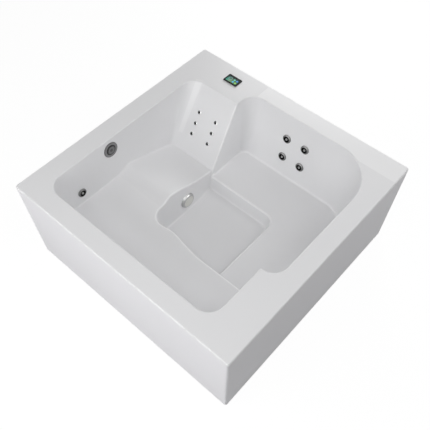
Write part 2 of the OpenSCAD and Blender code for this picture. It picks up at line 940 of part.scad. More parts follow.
// Domed suction cover with side slots and a flat face plate.
module suction_cover() {
    color("lightgray")
        at_suction()
        difference() {
            rotate_extrude()
                polygon([
                    [suction_bore_r - 4, 0], [suction_r, 0], [suction_r, 3], [suction_r - 3, suction_h * 0.55],
                    [suction_r - 9, suction_h * 0.9], [suction_r - 14, suction_h], [suction_r - 17, suction_h],
                    [suction_r - 18, suction_h - 2], [0, suction_h - 2], [0, suction_h - 6],
                    [suction_r - 18, suction_h - 6], [suction_r - 10, suction_h * 0.5], [suction_r - 8, 5],
                    [suction_bore_r - 4, 5]
                ]);
            for (a = [0:15:345])
                rotate([0, 0, a])
                    translate([suction_r - 14, -1.5, 6])
                    cube([20, 3, suction_h * 0.35]);
        }
}

module suction_body() {
    color("ghostwhite")
        at_suction() {
            tube_ring(suction_bore_r - fit, suction_bore_r - 4, -2 * shell_t - nut_h - 2, -fit);
            tube_ring(suction_bore_r + 4, suction_bore_r - 4, -suck_z - suck_r - 4, -2 * shell_t - nut_h - 2);
            translate([0, 0, -suck_z - suck_r - 7]) cylinder(r = suction_bore_r + 4, h = 3);
            translate([0, -suction_bore_r, -suck_z])
                rotate([90, 0, 0])
                tube_ring(suck_r + 3, suck_r, 0, suck_r);
        }
}

module suction_nut() {
    color("ghostwhite")
        at_suction()
        translate([0, 0, -shell_t - nut_h - 4 * fit])
        difference() {
            cylinder(r = suction_bore_r + 9, h = nut_h, $fn = 8);
            translate([0, 0, -1]) cylinder(r = suction_bore_r, h = nut_h + 2);
        }
}

// Frame of the touch panel, standing on the rim.
module touch_panel_bezel() {
    color("black")
        translate([screen_at[0], screen_at[1], rim_h])
        difference() {
            linear_extrude(height = screen_h) rounded(screen_w, screen_d, 6);
            translate([0, 0, screen_h - 2])
                linear_extrude(height = 3) rounded(screen_w - 8, screen_d - 8, 3);
        }
}

module touch_panel_glass() {
    color("teal")
        translate([screen_at[0], screen_at[1], rim_h + screen_h - 2])
        linear_extrude(height = 2 - fit / 3)
        rounded(screen_w - 8 - 2 * fit, screen_d - 8 - 2 * fit, 3 - fit);
}

// Electronics box of the touch panel, hanging through the rim.
module touch_panel_housing() {
    color("dimgray")
        translate([screen_at[0], screen_at[1], rim_h - screen_deep / 2 - fit / 3])
        cube([screen_w - 2 * screen_lap - 1, screen_d - 2 * screen_lap - 1, screen_deep], center = true);
}

// Places children on the pump's axis, with local Z along the shaft to the fan.
module at_pump(x) {
    translate([pump_x + x, pump_y, board_z + board_t + axis_h])
        rotate([0, 90, 0])
        children();
}

// Cast foot with two saddles under the motor.
module pump_base() {
    color("dimgray")
        difference() {
            translate([pump_x, pump_y - motor_r, board_z + board_t]) {
                cube([motor_len + volute_w, 2 * motor_r, 8]);
                for (x = [volute_w, volute_w + motor_len * 0.6])
                    translate([x, motor_r / 3, 8]) cube([tube, 1.34 * motor_r, axis_h - motor_r]);
            }
            at_pump(volute_w / 2 - 1) cylinder(r = motor_r + fin_h + fit, h = motor_len + 10);
            at_pump(-volute_w) cylinder(r = volute_r + fit, h = 1.5 * volute_w + fit);
        }
}

// Wet end of the pump, with its suction on the axis and its outlet rising at the side.
module pump_volute() {
    color("dimgray")
        difference() {
            union() {
                at_pump(-volute_w / 2) cylinder(r = volute_r, h = volute_w - fit);
                at_pump(-volute_w / 2 - inlet_len) cylinder(r = suck_r + 6, h = inlet_len + 1);
                at_pump(0)
                    translate([0, -volute_r + pipe_r + 6, 0])
                    rotate([0, -90, 0])
                    cylinder(r = pipe_r + 5, h = outlet_h);
            }
            at_pump(-volute_w / 2 + wall) cylinder(r = volute_r - wall, h = volute_w - 2 * wall);
            at_pump(-volute_w / 2 - inlet_len - 1) cylinder(r = suck_r, h = inlet_len + 20);
            at_pump(0) cylinder(r = shaft_r + running, h = volute_w);
            at_pump(0)
                translate([0, -volute_r + pipe_r + 6, 0])
                rotate([0, -90, 0])
                cylinder(r = pipe_r, h = outlet_h + 1);
        }
}

// Finned motor with the room for its rotor.
module pump_motor() {
    color("slategray")
        difference() {
            union() {
                at_pump(volute_w / 2) cylinder(r = motor_r, h = motor_len);
                for (a = [0:15:345])
                    at_pump(volute_w / 2 + wall)
                        rotate([0, 0, a])
                        translate([motor_r - 2, -1.5, 0])
                        cube([fin_h + 2, 3, motor_len - 2 * wall]);
            }
            at_pump(volute_w / 2 + 2 * wall) cylinder(r = rotor_r + 2, h = motor_len - 4 * wall);
            at_pump(volute_w / 2 - 1) cylinder(r = shaft_r + running, h = motor_len + 2);
        }
}

// Cup over the cooling fan, with slots in its end.
module pump_fan_cover() {
    color("dimgray")
        at_pump(volute_w / 2 + motor_len + fit)
        difference() {
            cylinder(r = motor_r + 2, h = fan_len);
            translate([0, 0, -1]) cylinder(r = motor_r, h = fan_len - 1);
            for (a = [0:30:330])
                rotate([0, 0, a])
                    translate([motor_r / 3, -3, fan_len - 4])
                    cube([motor_r / 2, 6, 5]);
        }
}

// Closed impeller with five swept vanes.
module pump_impeller() {
    vane_h = volute_w / 3;
    color("dimgray")
        at_pump(-volute_w / 2 + 2 * wall)
        difference() {
            union() {
                cylinder(r = impeller_r, h = 4);
                cylinder(r = shaft_r + 8, h = vane_h + 4);
                for (a = [0:72:288])
                    rotate([0, 0, a])
                        translate([shaft_r + 12, 0, 2])
                        rotate([0, 0, 35])
                        translate([-8, -1.5, 0])
                        cube([impeller_r - shaft_r - 14, 3, vane_h - 2]);
            }
            translate([0, 0, -1]) cylinder(r = shaft_r + running, h = volute_w);
        }
}

// Motor shaft with its rotor core and cooling fan.
module pump_shaft() {
    color("silver") {
        at_pump(-volute_w / 2 + 2 * wall)
            cylinder(r = shaft_r, h = volute_w + motor_len + fan_len - 3 * wall);
        at_pump(volute_w / 2 + 2 * wall + 1) cylinder(r = rotor_r, h = motor_len - 4 * wall - 2);
        at_pump(volute_w / 2 + motor_len + wall / 2) {
            cylinder(r = shaft_r + 8, h = fan_len / 2);
            for (a = [0:45:315])
                rotate([0, 0, a])
                    translate([shaft_r + 6, -1, 0])
                    cube([motor_r - shaft_r - 12, 2, fan_len / 2]);
        }
    }
}

module at_blower() {
    translate([blower_x, blower_y, board_z + board_t]) children();
}

// Blower housing with its outlet on top and its inlet ring at the side.
module blower_housing() {
    color("dimgray")
        at_blower()
        difference() {
            union() {
                cylinder(r = blower_r, h = blower_h);
                translate([0, 0, blower_h - 1]) cylinder(r = air_r + 6, h = tube);
            }
            translate([0, 0, wall]) cylinder(r = blower_r - wall, h = blower_h - 2 * wall);
            translate([0, 0, blower_h / 2]) cylinder(r = air_r - 2, h = blower_h);
            translate([0, 0, wall / 2]) cylinder(r = blower_shaft_r + running, h = wall);
            for (a = [0:30:330])
                rotate([0, 0, a])
                    translate([blower_r - wall - 2, -4, wall + 6])
                    cube([wall + 4, 8, 20]);
        }
}

// Blower fan on its upright shaft, turning in the floor of the housing.
module blower_impeller() {
    color("silver")
        at_blower() {
            translate([0, 0, wall / 2 + fit]) cylinder(r = blower_shaft_r, h = blower_h / 2);
            translate([0, 0, wall + fit]) cylinder(r = 3 * blower_shaft_r, h = tube);
            translate([0, 0, wall + tube]) cylinder(r = blower_r - 2 * wall, h = 3);
            for (a = [0:30:330])
                rotate([0, 0, a])
                    translate([blower_r / 3, -1, wall + tube])
                    cube([blower_r / 2, 2, blower_h / 4]);
        }
}

// Heater tube with end unions, on two legs.
module heater() {
    color("silver")
        translate([heater_x - heater_len, heater_y, heater_z]) {
            rotate([0, 90, 0]) {
                tube_ring(heater_r, heater_r - 3, 0, heater_len);
                for (z = [0, heater_len - tube])
                    tube_ring(heater_r + 6, heater_r - 3, z, z + tube);
                for (z = [0, heater_len - 3])
                    tube_ring(heater_r, pipe_r + fit, z, z + 3);
            }
            for (x = [1.5 * tube, heater_len - 2.5 * tube])
                translate([x, -heater_r / 2, board_z + board_t - heater_z])
                    cube([tube, heater_r, heater_z - board_z - board_t - heater_r + 4]);
        }
}

module at_box() {
    translate([box_x, -rail_y + tube + 2, board_z + board_t]) children();
}

// Control box with its open front towards the service panel.
module control_box() {
    color("gray")
        at_box()
        difference() {
            translate([0, 3, 0]) cube([box_w, box_d, box_h]);
            translate([3, 2, 3]) cube([box_w - 6, box_d - 2, box_h - 6]);
            translate([box_w - 4, box_d / 2, box_h / 4])
                rotate([0, 90, 0])
                cylinder(r = gland_r + fit, h = 8);
        }
}

module control_box_lid() {
    color("lightgray")
        at_box()
        translate([0, -fit, 0]) {
            cube([box_w, 3, box_h]);
            for (x = [10, box_w - 16])
                for (z = [10, box_h - 16])
                    translate([x, -1, z]) cube([6, 2, 6]);
        }
}

// Supply inlet of the control box, with no cable in it.
module cable_gland() {
    color("dimgray")
        at_box()
        translate([box_w, box_d / 2, box_h / 4])
        rotate([0, 90, 0]) {
            tube_ring(gland_r, gland_r - 4, -4, fit);
            tube_ring(gland_r + 5, gland_r - 4, fit, 8);
            tube_ring(gland_r + 2, gland_r - 5, 8, 20);
        }
}

// Where the port of jet i meets its supply pipe.
function jet_tee(i) =
    i == 1
    ? jet_place(1) + [-port_z + main_drop * side_draft, 0, -main_drop - port_z * side_draft]
    : [jet_place(i)[0], manifold_y, manifold_z];
main_line = jet_tee(1);
pump_out = [pump_x, pump_y - volute_r + pipe_r + 6, board_z + board_t + axis_h + outlet_h];
suction_at = [well_left - suck_z, front + suction_y - suction_bore_r - suck_r, suction_z];
overflow_drop = [basin_left + deep(overflow_z) * side_draft - drop_z, front + overflow_y, overflow_z];

// Pressure side from the pump through the heater to the jets, and suction side back to the pump.
module water_pipes() {
    riser_x = main_line[0];
    color("ghostwhite") {
        run([
            pump_out + [0, 0, 1],
            [pump_out[0], pump_out[1], heater_z],
            [heater_x + fit, heater_y, heater_z]
        ], pipe_r);
        run([
            [heater_x - heater_len - fit, heater_y, heater_z],
            [riser_x, heater_y, heater_z],
            [riser_x, heater_y, main_line[2]],
            [riser_x, manifold_y, main_line[2]],
            [riser_x, manifold_y, manifold_z],
            [jet_tee(3)[0] + tube, manifold_y, manifold_z]
        ], pipe_r, elbow_t / 2);
        run([
            suction_at + [0, -1, 0],
            [suction_at[0], pump_y, suction_z],
            [pump_x - volute_w / 2 - inlet_len - fit, pump_y, suction_z]
        ], suck_r);
        run([
            overflow_drop + [0, 0, -overflow_bore_r - drop_r - 2],
            [overflow_drop[0], overflow_drop[1], valve_z],
            [overflow_drop[0], valve_y + valve_len / 2 + 1, valve_z]
        ], drop_r);
    }
}

// Air line from the blower, up under the rim and round to the top bar of the
// backrest manifold, which it meets from behind.
module air_pipes() {
    high = rim_h - shell_t - tube - air_r;
    x_side = -rail_x + tube + air_r + 12;
    y_front = -rail_y + tube + air_r + 12;
    x_mid = left + small_x + small_gap / 2;
    bar_back = small_stem + fit + air_r;
    bar_y = head_y - deep(small_top) * lean + manifold_up * sin(back_lean) + bar_back * cos(back_lean);
    bar_z = small_top + manifold_up * cos(back_lean) - bar_back * sin(back_lean);
    color("ghostwhite")
        run([
            [blower_x, blower_y, board_z + board_t + blower_h + tube - 1 + fit],
            [blower_x, blower_y, high],
            [blower_x, y_front, high],
            [x_side, y_front, high],
            [x_side, air_end_y, high],
            [x_mid, air_end_y, high],
            [x_mid, air_end_y, bar_z],
            [x_mid, bar_y + air_r + elbow_t + fit, bar_z]
        ], air_r);
}

// Waste valve on its post, with an elbow down through the board to the hose spigot.
module drain_valve() {
    color("ghostwhite")
        translate([overflow_drop[0], valve_y, valve_z]) {
            rotate([90, 0, 0]) tube_ring(drop_r + 6, drop_r - 4, -valve_len / 2, valve_len / 2);
            run([
                [0, 1 - valve_len / 2, 0],
                [0, waste_y - valve_y, 0],
                [0, waste_y - valve_y, board_z - valve_z]
            ], drop_r);
            translate([0, waste_y - valve_y, 0])
                tube_ring(spigot_r, spigot_r - 3, board_z - valve_z - spigot_len, board_z - valve_z + 1);
            translate([-tube / 2, -tube / 2, board_z + board_t - valve_z])
                cube([tube, tube, valve_z - board_z - board_t - drop_r - 4]);
            translate([0, 0, drop_r + 5]) cylinder(r = 8, h = 6);
        }
}

module drain_lever() {
    color("firebrick")
        translate([overflow_drop[0], valve_y, valve_z + drop_r + 11 + fit]) {
            cylinder(r = 10, h = 6);
            translate([0, -6, 0]) cube([lever_len, 12, 4]);
        }
}

tub_shell();
front_panel();
back_panel();
left_panel();
right_panel();
floor_board();
equipment_board();
bottom_rails();
top_rails();
uprights();
floor_bearers();
foot_pads();
foot_studs();
foot_nuts();
panel_clips();
hydro_jet_gaskets();
hydro_jet_nuts();
hydro_jet_1_body();
hydro_jet_2_body();
hydro_jet_3_body();
hydro_jet_4_body();
hydro_jet_5_body();
hydro_jet_1_bezel();
hydro_jet_2_bezel();
hydro_jet_3_bezel();
hydro_jet_4_bezel();
hydro_jet_5_bezel();
hydro_jet_1_nozzle();
hydro_jet_2_nozzle();
hydro_jet_3_nozzle();
hydro_jet_4_nozzle();
hydro_jet_5_nozzle();
backrest_jets();
backrest_jet_nuts();
backrest_manifold();
overflow_rosette();
overflow_body();
overflow_nut();
suction_cover();
suction_body();
suction_nut();
touch_panel_bezel();
touch_panel_glass();
touch_panel_housing();
pump_base();
pump_volute();
pump_motor();
pump_fan_cover();
pump_impeller();
pump_shaft();
blower_housing();
blower_impeller();
heater();
control_box();
control_box_lid();
cable_gland();
water_pipes();
air_pipes();
drain_valve();
drain_lever();
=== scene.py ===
import math

import bpy
import numpy as np
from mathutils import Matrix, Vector


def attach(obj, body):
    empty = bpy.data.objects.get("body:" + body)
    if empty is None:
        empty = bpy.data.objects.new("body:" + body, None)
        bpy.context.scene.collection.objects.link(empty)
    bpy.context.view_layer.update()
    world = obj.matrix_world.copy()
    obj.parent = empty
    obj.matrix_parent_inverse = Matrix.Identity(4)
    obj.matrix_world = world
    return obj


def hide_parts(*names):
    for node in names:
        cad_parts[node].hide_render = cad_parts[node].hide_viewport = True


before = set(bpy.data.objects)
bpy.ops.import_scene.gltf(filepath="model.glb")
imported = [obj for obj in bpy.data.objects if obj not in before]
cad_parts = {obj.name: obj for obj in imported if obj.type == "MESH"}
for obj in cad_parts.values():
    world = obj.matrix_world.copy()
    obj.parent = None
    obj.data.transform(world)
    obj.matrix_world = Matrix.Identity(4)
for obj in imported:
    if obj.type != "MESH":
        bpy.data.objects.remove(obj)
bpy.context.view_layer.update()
scene = bpy.context.scene

# The camera stands over the front right corner and looks down into the basin.
# Its lens axis runs below the middle of the picture, as in a cropped photograph.
TURN, RISE = math.radians(41.7), math.radians(59.4)
back = Vector((math.sin(TURN) * math.cos(RISE), -math.cos(TURN) * math.cos(RISE), math.sin(RISE)))
lens = bpy.data.cameras.new("camera")
lens.sensor_width = 36
lens.lens = 44.142
lens.shift_y = 0.1193
camera = bpy.data.objects.new("camera", lens)
camera.location = (1.4805, -1.6546, 3.3666)
camera.rotation_mode = "QUATERNION"
camera.rotation_quaternion = (-back).to_track_quat("-Z", "Y")
scene.collection.objects.link(camera)
scene.camera = camera
scene.view_settings.view_transform = "Standard"

# The acrylic shell is one sheet, vacuum formed over a mould and backed with glass
# fibre. Its rim is flat and rolls over into a short lip that hides the panels' tops.
# Its sizes are in millimetres, with the drafts of its walls per millimetre of depth.
HALF, RIM_Z, LIP_Z, SHELL_T = 900.0, 740.0, 716.0, 6.0
CORNER_R, EDGE_R, BRIM_R = 16.0, 9.0, 5.0
LEFT, RIGHT, FRONT, BACK = -750.0, 765.0, -764.0, 765.0
BLOCK_X, BLOCK_Y, HEAD_Y, BAY_LEFT = 652.0, -328.0, 607.0, -323.0
LEAN_TURN = math.radians(32.6)
LEAN = math.tan(LEAN_TURN)
SIDE_DRAFT, BACK_DRAFT, RIGHT_DRAFT, FOOT_DRAFT, WELL_DRAFT = 0.044, 0.166, 0.1, 0.026, 0.154
PLATFORM_Z, BENCH_Z, FLOOR_Z, SEAT_Z, KNEE_Z = 386.0, 235.0, 118.0, 290.0, 420.0
KNEE_Y, KNEE_RAMP, SEAT_Y = -122.0, 110.0, 607.0 - 450.0 * LEAN
WELL_LEFT, WELL_RIGHT, BENCH_Y, EDGE_Y = -294.0, 313.0, 308.0, -352.0
BASIN_R, BASIN_TAPER, TAPER_DEPTH = 109.0, 54.0, 540.0
FRONT_TAPER, SWEEP_R, SWEEP_TAPER = 21.0, 320.0, 105.0
WELL_R, HOLLOW_R, SHARP_R = 80.0, 100.0, 2.0
LOW_WALL, LAP, BENCH_LAP, MARGIN = 27.0, 13.0, 178.0, 60.0
WALL_FILLET, FLOOR_FILLET, WELL_FILLET, SEAT_FILLET = 10.0, 12.0, 9.0, 10.0


class Socket:
    """One output of a shader node. Arithmetic on it adds Math nodes."""

    def __init__(self, tree, output=None):
        self.tree, self.output = tree, output

    def node(self, kind, settings=None, inputs=None, output=0):
        """Adds any node, sets it up, fills its inputs and returns one of its outputs."""
        made = self.tree.nodes.new(kind)
        for name, value in (settings or {}).items():
            if name == "stops":
                ramp = made.color_ramp
                while len(ramp.elements) < len(value):
                    ramp.elements.new(0.5)
                for element, (place, color) in zip(ramp.elements, value):
                    element.position = place
                    element.color = (*color, 1) if len(color) == 3 else color
            else:
                setattr(made, name, value)
        for name, value in (inputs or {}).items():
            if isinstance(value, Socket):
                self.tree.links.new(value.output, made.inputs[name])
            else:
                made.inputs[name].default_value = value
        return Socket(self.tree, made.outputs[output])

    def math(self, operation, *values):
        """A Math node on sockets and numbers."""
        return self.node("ShaderNodeMath", {"operation": operation}, dict(enumerate(values)))

    def __add__(self, other):
        return self.math("ADD", self, other)

    def __radd__(self, other):
        return self.math("ADD", other, self)

    def __sub__(self, other):
        return self.math("SUBTRACT", self, other)

    def __rsub__(self, other):
        return self.math("SUBTRACT", other, self)

    def __mul__(self, other):
        return self.math("MULTIPLY", self, other)

    def __rmul__(self, other):
        return self.math("MULTIPLY", other, self)

    def __truediv__(self, other):
        return self.math("DIVIDE", self, other)

    def __pow__(self, other):
        return self.math("POWER", self, other)

    def __abs__(self):
        return self.math("ABSOLUTE", self)

    def least(self, other):
        return self.math("MINIMUM", self, other)

    def within(self, reach, soft):
        """1 where this is below reach and 0 above it, with a soft step between."""
        return self.node("ShaderNodeClamp", {}, {0: (reach - self) / soft + 0.5})

    def ramp(self, *stops):
        """A colour that runs through the stops as this goes from 0 to 1."""
        return self.node("ShaderNodeValToRGB", {"stops": stops}, {0: self})

    def mix(self, first, second):
        """The first colour where this is 0 and the second where it is 1."""
        return self.node("ShaderNodeMix", {"data_type": "RGBA"}, {0: self, 6: first, 7: second}, 2)

    def place(self):
        """Where a point lies on the piece at rest, in metres."""
        return self.node("ShaderNodeTexCoord", output=3)

    def split(self):
        """The three numbers of a place."""
        return [self.node("ShaderNodeSeparateXYZ", {}, {0: self.place()}, k) for k in range(3)]

    def off_axis(self, spot, way):
        """How far a point lies from the line through spot along way, in metres."""
        arm = self.node("ShaderNodeVectorMath", {"operation": "SUBTRACT"}, {0: self.place(), 1: tuple(spot)})
        across = self.node("ShaderNodeVectorMath", {"operation": "CROSS_PRODUCT"}, {0: arm, 1: tuple(way)})
        return self.node("ShaderNodeVectorMath", {"operation": "LENGTH"}, {0: across}, 1)

    def noise(self, size, detail=2.0, rough=0.5):
        """Soft mottling whose blotches are about size metres across."""
        return self.node("ShaderNodeTexNoise", {}, {
            "Vector": self.place(), "Scale": 1 / size, "Detail": detail, "Roughness": rough}, 0)

    def bump(self, height, depth, strength=1.0):
        """Surface relief depth metres high."""
        return self.node("ShaderNodeBump", {}, {"Height": height, "Distance": depth, "Strength": strength})


def finish(name, **constants):
    """A new material with those values set on its shader. Returns it with a socket maker."""
    made = bpy.data.materials.new(name)
    made.use_nodes = True
    shader = made.node_tree.nodes["Principled BSDF"]
    for socket, value in constants.items():
        shader.inputs[socket.replace("_", " ")].default_value = value
    return made, Socket(made.node_tree)


def feed(made, **links):
    """Leads sockets into the shader's inputs of those names."""
    shader = made.node_tree.nodes["Principled BSDF"]
    for socket, value in links.items():
        made.node_tree.links.new(value.output, shader.inputs[socket.replace("_", " ")])


# The sheet's colour is whitened into a painted highlight over its edges and at the foot of the low walls,
# more faintly near the rim's top. It is also whitened into a painted reflection down the rounded corner
# between the left wall and the backrest, and along a band of the back rim.
COVE_MIDDLE, COVE_HALF, COVE_DEPTH = math.radians(67.5), math.radians(13.5), 0.345
RIM_FROM_Y, RIM_FROM_X = 0.732, -0.265
acrylic, at = finish("white_acrylic", Specular_IOR_Level=0.35)
x, y, z = at.split()
deep = RIM_Z / 1000 - z
# A strip of painted reflection follows the rounded corner between the left wall and the backrest.
cove_r = BASIN_R / 1000 - BASIN_TAPER / TAPER_DEPTH * deep
cove_x = deep * SIDE_DRAFT + LEFT / 1000 + cove_r - x
cove_y = y - (HEAD_Y / 1000 - deep * LEAN - cove_r)
turn = abs(at.math("ARCTAN2", cove_y, cove_x) - COVE_MIDDLE)
reach = abs((cove_x * cove_x + cove_y * cove_y) ** 0.5 - cove_r)
cove_reflection = turn.within(COVE_HALF, 0.03) * reach.within(0.02, 0.01) * deep.within(COVE_DEPTH, 0.006)
# A band of the back rim gets a painted reflection.
back_rim_reflection = deep.within(0.001, 0.001)
back_rim_reflection *= (RIM_FROM_Y - y).within(0, 0.004) * (RIM_FROM_X - x).within(0, 0.004)
# The edge attribute carries where the painted highlight goes.
edge = at.node("ShaderNodeAttribute", {"attribute_name": "edge"}, {}, 2)
painted_highlight = at.math("MAXIMUM", edge * (1 - 0.7 * deep.within(0.03, 0.05)), 0.45 * cove_reflection)
pale = at.noise(0.35, 3).mix((0.86, 0.86, 0.87, 1), (0.88, 0.88, 0.89, 1))
feed(acrylic,
     Base_Color=at.math("MAXIMUM", painted_highlight, 0.65 * back_rim_reflection).mix(pale, (0.97, 0.97, 0.975, 1)),
     Roughness=0.26 + 0.08 * at.noise(0.12, 3),
     Normal=at.bump(at.noise(0.05, 2), 0.0002, 0.3))


def soft_step(t):
    """Rises from 0 to 1 with level ends."""
    t = np.clip(t, 0, 1)
    return t * t * (3 - 2 * t)


def both(a, b, r):
    """Distance to what two solids share, with an edge rounded to r."""
    return np.minimum(np.maximum(a, b), -r) + np.hypot(np.maximum(a + r, 0), np.maximum(b + r, 0))


def either(a, b, r):
    """Distance to two solids joined, with a fillet of radius r."""
    return np.maximum(np.minimum(a, b), r) - np.hypot(np.maximum(r - a, 0), np.maximum(r - b, 0))


def plan(x, y, x0, x1, y0, y1, radii):
    """Distance to a rectangle with its own radius at each corner, from front left round to back left."""
    px, py = x - (x0 + x1) / 2, y - (y0 + y1) / 2
    r = np.where(py < 0, np.where(px < 0, radii[0], radii[1]), np.where(px > 0, radii[2], radii[3]))
    qx, qy = abs(px) - (x1 - x0) / 2 + r, abs(py) - (y1 - y0) / 2 + r
    return np.minimum(np.maximum(qx, qy), 0) + np.hypot(np.maximum(qx, 0), np.maximum(qy, 0)) - r


def seat_height(y):
    """Foot platform, knee roll and the fall to the backrest."""
    up = PLATFORM_Z + (KNEE_Z - PLATFORM_Z) * soft_step((y - KNEE_Y + KNEE_RAMP) / KNEE_RAMP)
    t = np.clip((y - KNEE_Y) / (SEAT_Y - KNEE_Y), 0, 1)
    down = (KNEE_Z - SEAT_Z) * 1.08 * t * t / (t + 0.08)
    return up - down - np.clip(y - SEAT_Y, 0, 120) / 4


def water_side(x, y, z):
    """Distance out of the basin's room, in millimetres: below 0 in the water."""
    deep = RIM_Z - z
    low = np.clip(deep / TAPER_DEPTH, 0, 1)
    sunk = np.clip(deep / (RIM_Z - BENCH_Z), 0, 1)
    front_r = BASIN_R - FRONT_TAPER * low
    head_r = BASIN_R - BASIN_TAPER * low
    lounge = plan(x, y, LEFT + deep * SIDE_DRAFT, BLOCK_X - deep * SIDE_DRAFT,
                  FRONT + deep * SIDE_DRAFT, HEAD_Y - deep * LEAN, [front_r, front_r, head_r, head_r])
    right = RIGHT - deep * RIGHT_DRAFT
    bench = plan(x, y, BAY_LEFT + deep * SIDE_DRAFT, right, BENCH_Y - BENCH_LAP, BACK - deep * BACK_DRAFT,
                 [SHARP_R, SHARP_R, SWEEP_R - SWEEP_TAPER * sunk, BASIN_R - BASIN_TAPER * sunk])
    side = plan(x, y, WELL_RIGHT - LAP, right, BLOCK_Y + deep * SIDE_DRAFT, BENCH_Y + LAP,
                [SHARP_R, BASIN_R, SHARP_R, SHARP_R])
    footwell = plan(x, y, WELL_LEFT - MARGIN, WELL_RIGHT + MARGIN, EDGE_Y - MARGIN, BENCH_Y + 40,
                    [SHARP_R] * 4)
    walls = either(lounge, np.minimum(bench, side), WALL_FILLET)
    walls = np.minimum(walls, np.maximum(footwell, z - BENCH_Z - LOW_WALL))

    # The platform's edge bulges at its middle and falls back to the right, and the
    # seat's edge over the footwell draws in towards the backrest.
    slope = 1 + 0.08 * soft_step((y - KNEE_Y) / 100)
    seat = (seat_height(y) - z) / slope
    front_edge = EDGE_Y + 16 + 13 * np.exp(-((x + 90) / 75) ** 2) - 26 * soft_step((x + 60) / 260)
    left_edge = WELL_LEFT + 4 - 18 * soft_step((y - 120) / 190)
    far = HALF + 300
    hollow = plan(x, y, left_edge + (BENCH_Z - z) * FOOT_DRAFT, far,
                  front_edge + (PLATFORM_Z - z) * SIDE_DRAFT, far, [HOLLOW_R, SHARP_R, SHARP_R, SHARP_R])
    spread = (z - BENCH_Z) * WELL_DRAFT
    well = plan(x, y, -far, WELL_RIGHT + spread, -far, BENCH_Y + spread, [SHARP_R, SHARP_R, WELL_R, SHARP_R])
    floors = either(BENCH_Z - z, both(well, FLOOR_Z - z, WALL_FILLET), WELL_FILLET)
    return both(walls, either(seat, both(hollow, floors, FLOOR_FILLET), SEAT_FILLET), FLOOR_FILLET)


def tub_solid(x, y, z):
    """Distance to the block that the basin is sunk into."""
    block = both(plan(x, y, -HALF, HALF, -HALF, HALF, [CORNER_R] * 4), z - RIM_Z, EDGE_R)
    return both(block, -water_side(x, y, z), BRIM_R)


def lines(stops, coarse, fine, reach):
    """Grid lines that are fine within reach of the stops and coarse between them."""
    at, end = [stops[0]], stops[-1]
    while at[-1] < end:
        near = min(abs(at[-1] - s) for s in stops)
        at.append(at[-1] + (fine if near < reach else min(coarse, fine + (near - reach) * 0.5)))
    return np.array(at, np.float32)


def surface_net(field, xs, ys, zs):
    """Vertices and quads of the field's zero level on a grid with uneven lines."""
    grid = [xs, ys, zs]
    inside = field < 0
    shape = np.array(field.shape)
    cells = shape - 1
    total = np.zeros((int(np.prod(cells)), 3))
    count = np.zeros(int(np.prod(cells)))
    quads = []
    for axis in range(3):
        lower = [slice(None)] * 3
        upper = [slice(None)] * 3
        lower[axis], upper[axis] = slice(0, -1), slice(1, None)
        crossed = np.argwhere(inside[tuple(lower)] != inside[tuple(upper)])
        b, c = [k for k in range(3) if k != axis]
        crossed = crossed[(crossed[:, b] > 0) & (crossed[:, b] < cells[b])
                          & (crossed[:, c] > 0) & (crossed[:, c] < cells[c])]
        step = np.zeros(3, int)
        step[axis] = 1
        f0 = field[tuple(crossed.T)]
        f1 = field[tuple((crossed + step).T)]
        t = f0 / (f0 - f1)
        point = np.stack([grid[k][crossed[:, k]] for k in range(3)], 1).astype(float)
        point[:, axis] += t * (grid[axis][crossed[:, axis] + 1] - grid[axis][crossed[:, axis]])
        around = []
        for db, dc in ((-1, -1), (0, -1), (0, 0), (-1, 0)):
            cell = crossed.copy()
            cell[:, b] += db
            cell[:, c] += dc
            flat = (cell[:, 0] * cells[1] + cell[:, 1]) * cells[2] + cell[:, 2]
            around.append(flat)
            for k in range(3):
                total[:, k] += np.bincount(flat, point[:, k], len(total))
            count += np.bincount(flat, minlength=len(count))
        quad = np.stack(around, 1)
        turned = (f0 < 0) == (axis == 1)
        quad[turned] = quad[turned][:, ::-1]
        quads.append(quad)
    used = np.flatnonzero(count)
    number = np.full(len(count), -1)
    number[used] = np.arange(len(used))
    return total[used] / count[used][:, None], number[np.concatenate(quads)]


def slope_of(solid, points):
    """The field's gradient at the points."""
    gradient = np.empty_like(points)
    for k in range(3):
        step = np.zeros(3)
        step[k] = 0.25
        gradient[:, k] = (solid(*(points + step).T) - solid(*(points - step).T)) / 0.5
    return gradient


def sharpness(solid, points, reach=3.0):
    """1 on the surface's edges and at the foot of the low walls, and 0 on a flat wall."""
    middle = solid(*points.T)
    bend = sum(solid(*(points + step).T) + solid(*(points - step).T) - 2 * middle
               for step in np.eye(3) * reach) / reach ** 2
    foot = np.where(points[:, 2] < BENCH_Z + LOW_WALL, -bend - 0.03, 0)
    return np.clip(np.maximum((bend - 0.03) / 0.06, foot / 0.1), 0, 1)


def pull_onto(solid, points, rounds=4):
    """Moves points along the slope onto the surface."""
    for _ in range(rounds):
        gradient = slope_of(solid, points)
        size = np.maximum((gradient ** 2).sum(1), 0.05)
        step = gradient * (solid(*points.T) / size)[:, None]
        points = points - np.clip(step, -4, 4)
    return points


def new_piece(name, points, faces, made, body, normals=None, smooth=True):
    """A mesh from arrays, in the row's frame, that rides on a body."""
    mesh = bpy.data.meshes.new(name)
    mesh.from_pydata(points, [], faces)
    mesh.materials.append(made)
    mesh.polygons.foreach_set("use_smooth", [smooth] * len(mesh.polygons))
    mesh.update()
    if normals is not None:
        mesh.normals_split_custom_set_from_vertices(normals)
    piece = bpy.data.objects.new(name, mesh)
    scene.collection.objects.link(piece)
    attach(piece, body)
    return piece


LONE_JET_Y, LONE_JET_Z = -549.0, 478.0
JET_X, JET_Z, JET_STEP = 51.0, 553.0, 160.0
SMALL_JET_X, SMALL_JET_Z, SMALL_STEP_X, SMALL_STEP_Z = -591.0, 569.0, 161.0, 73.0


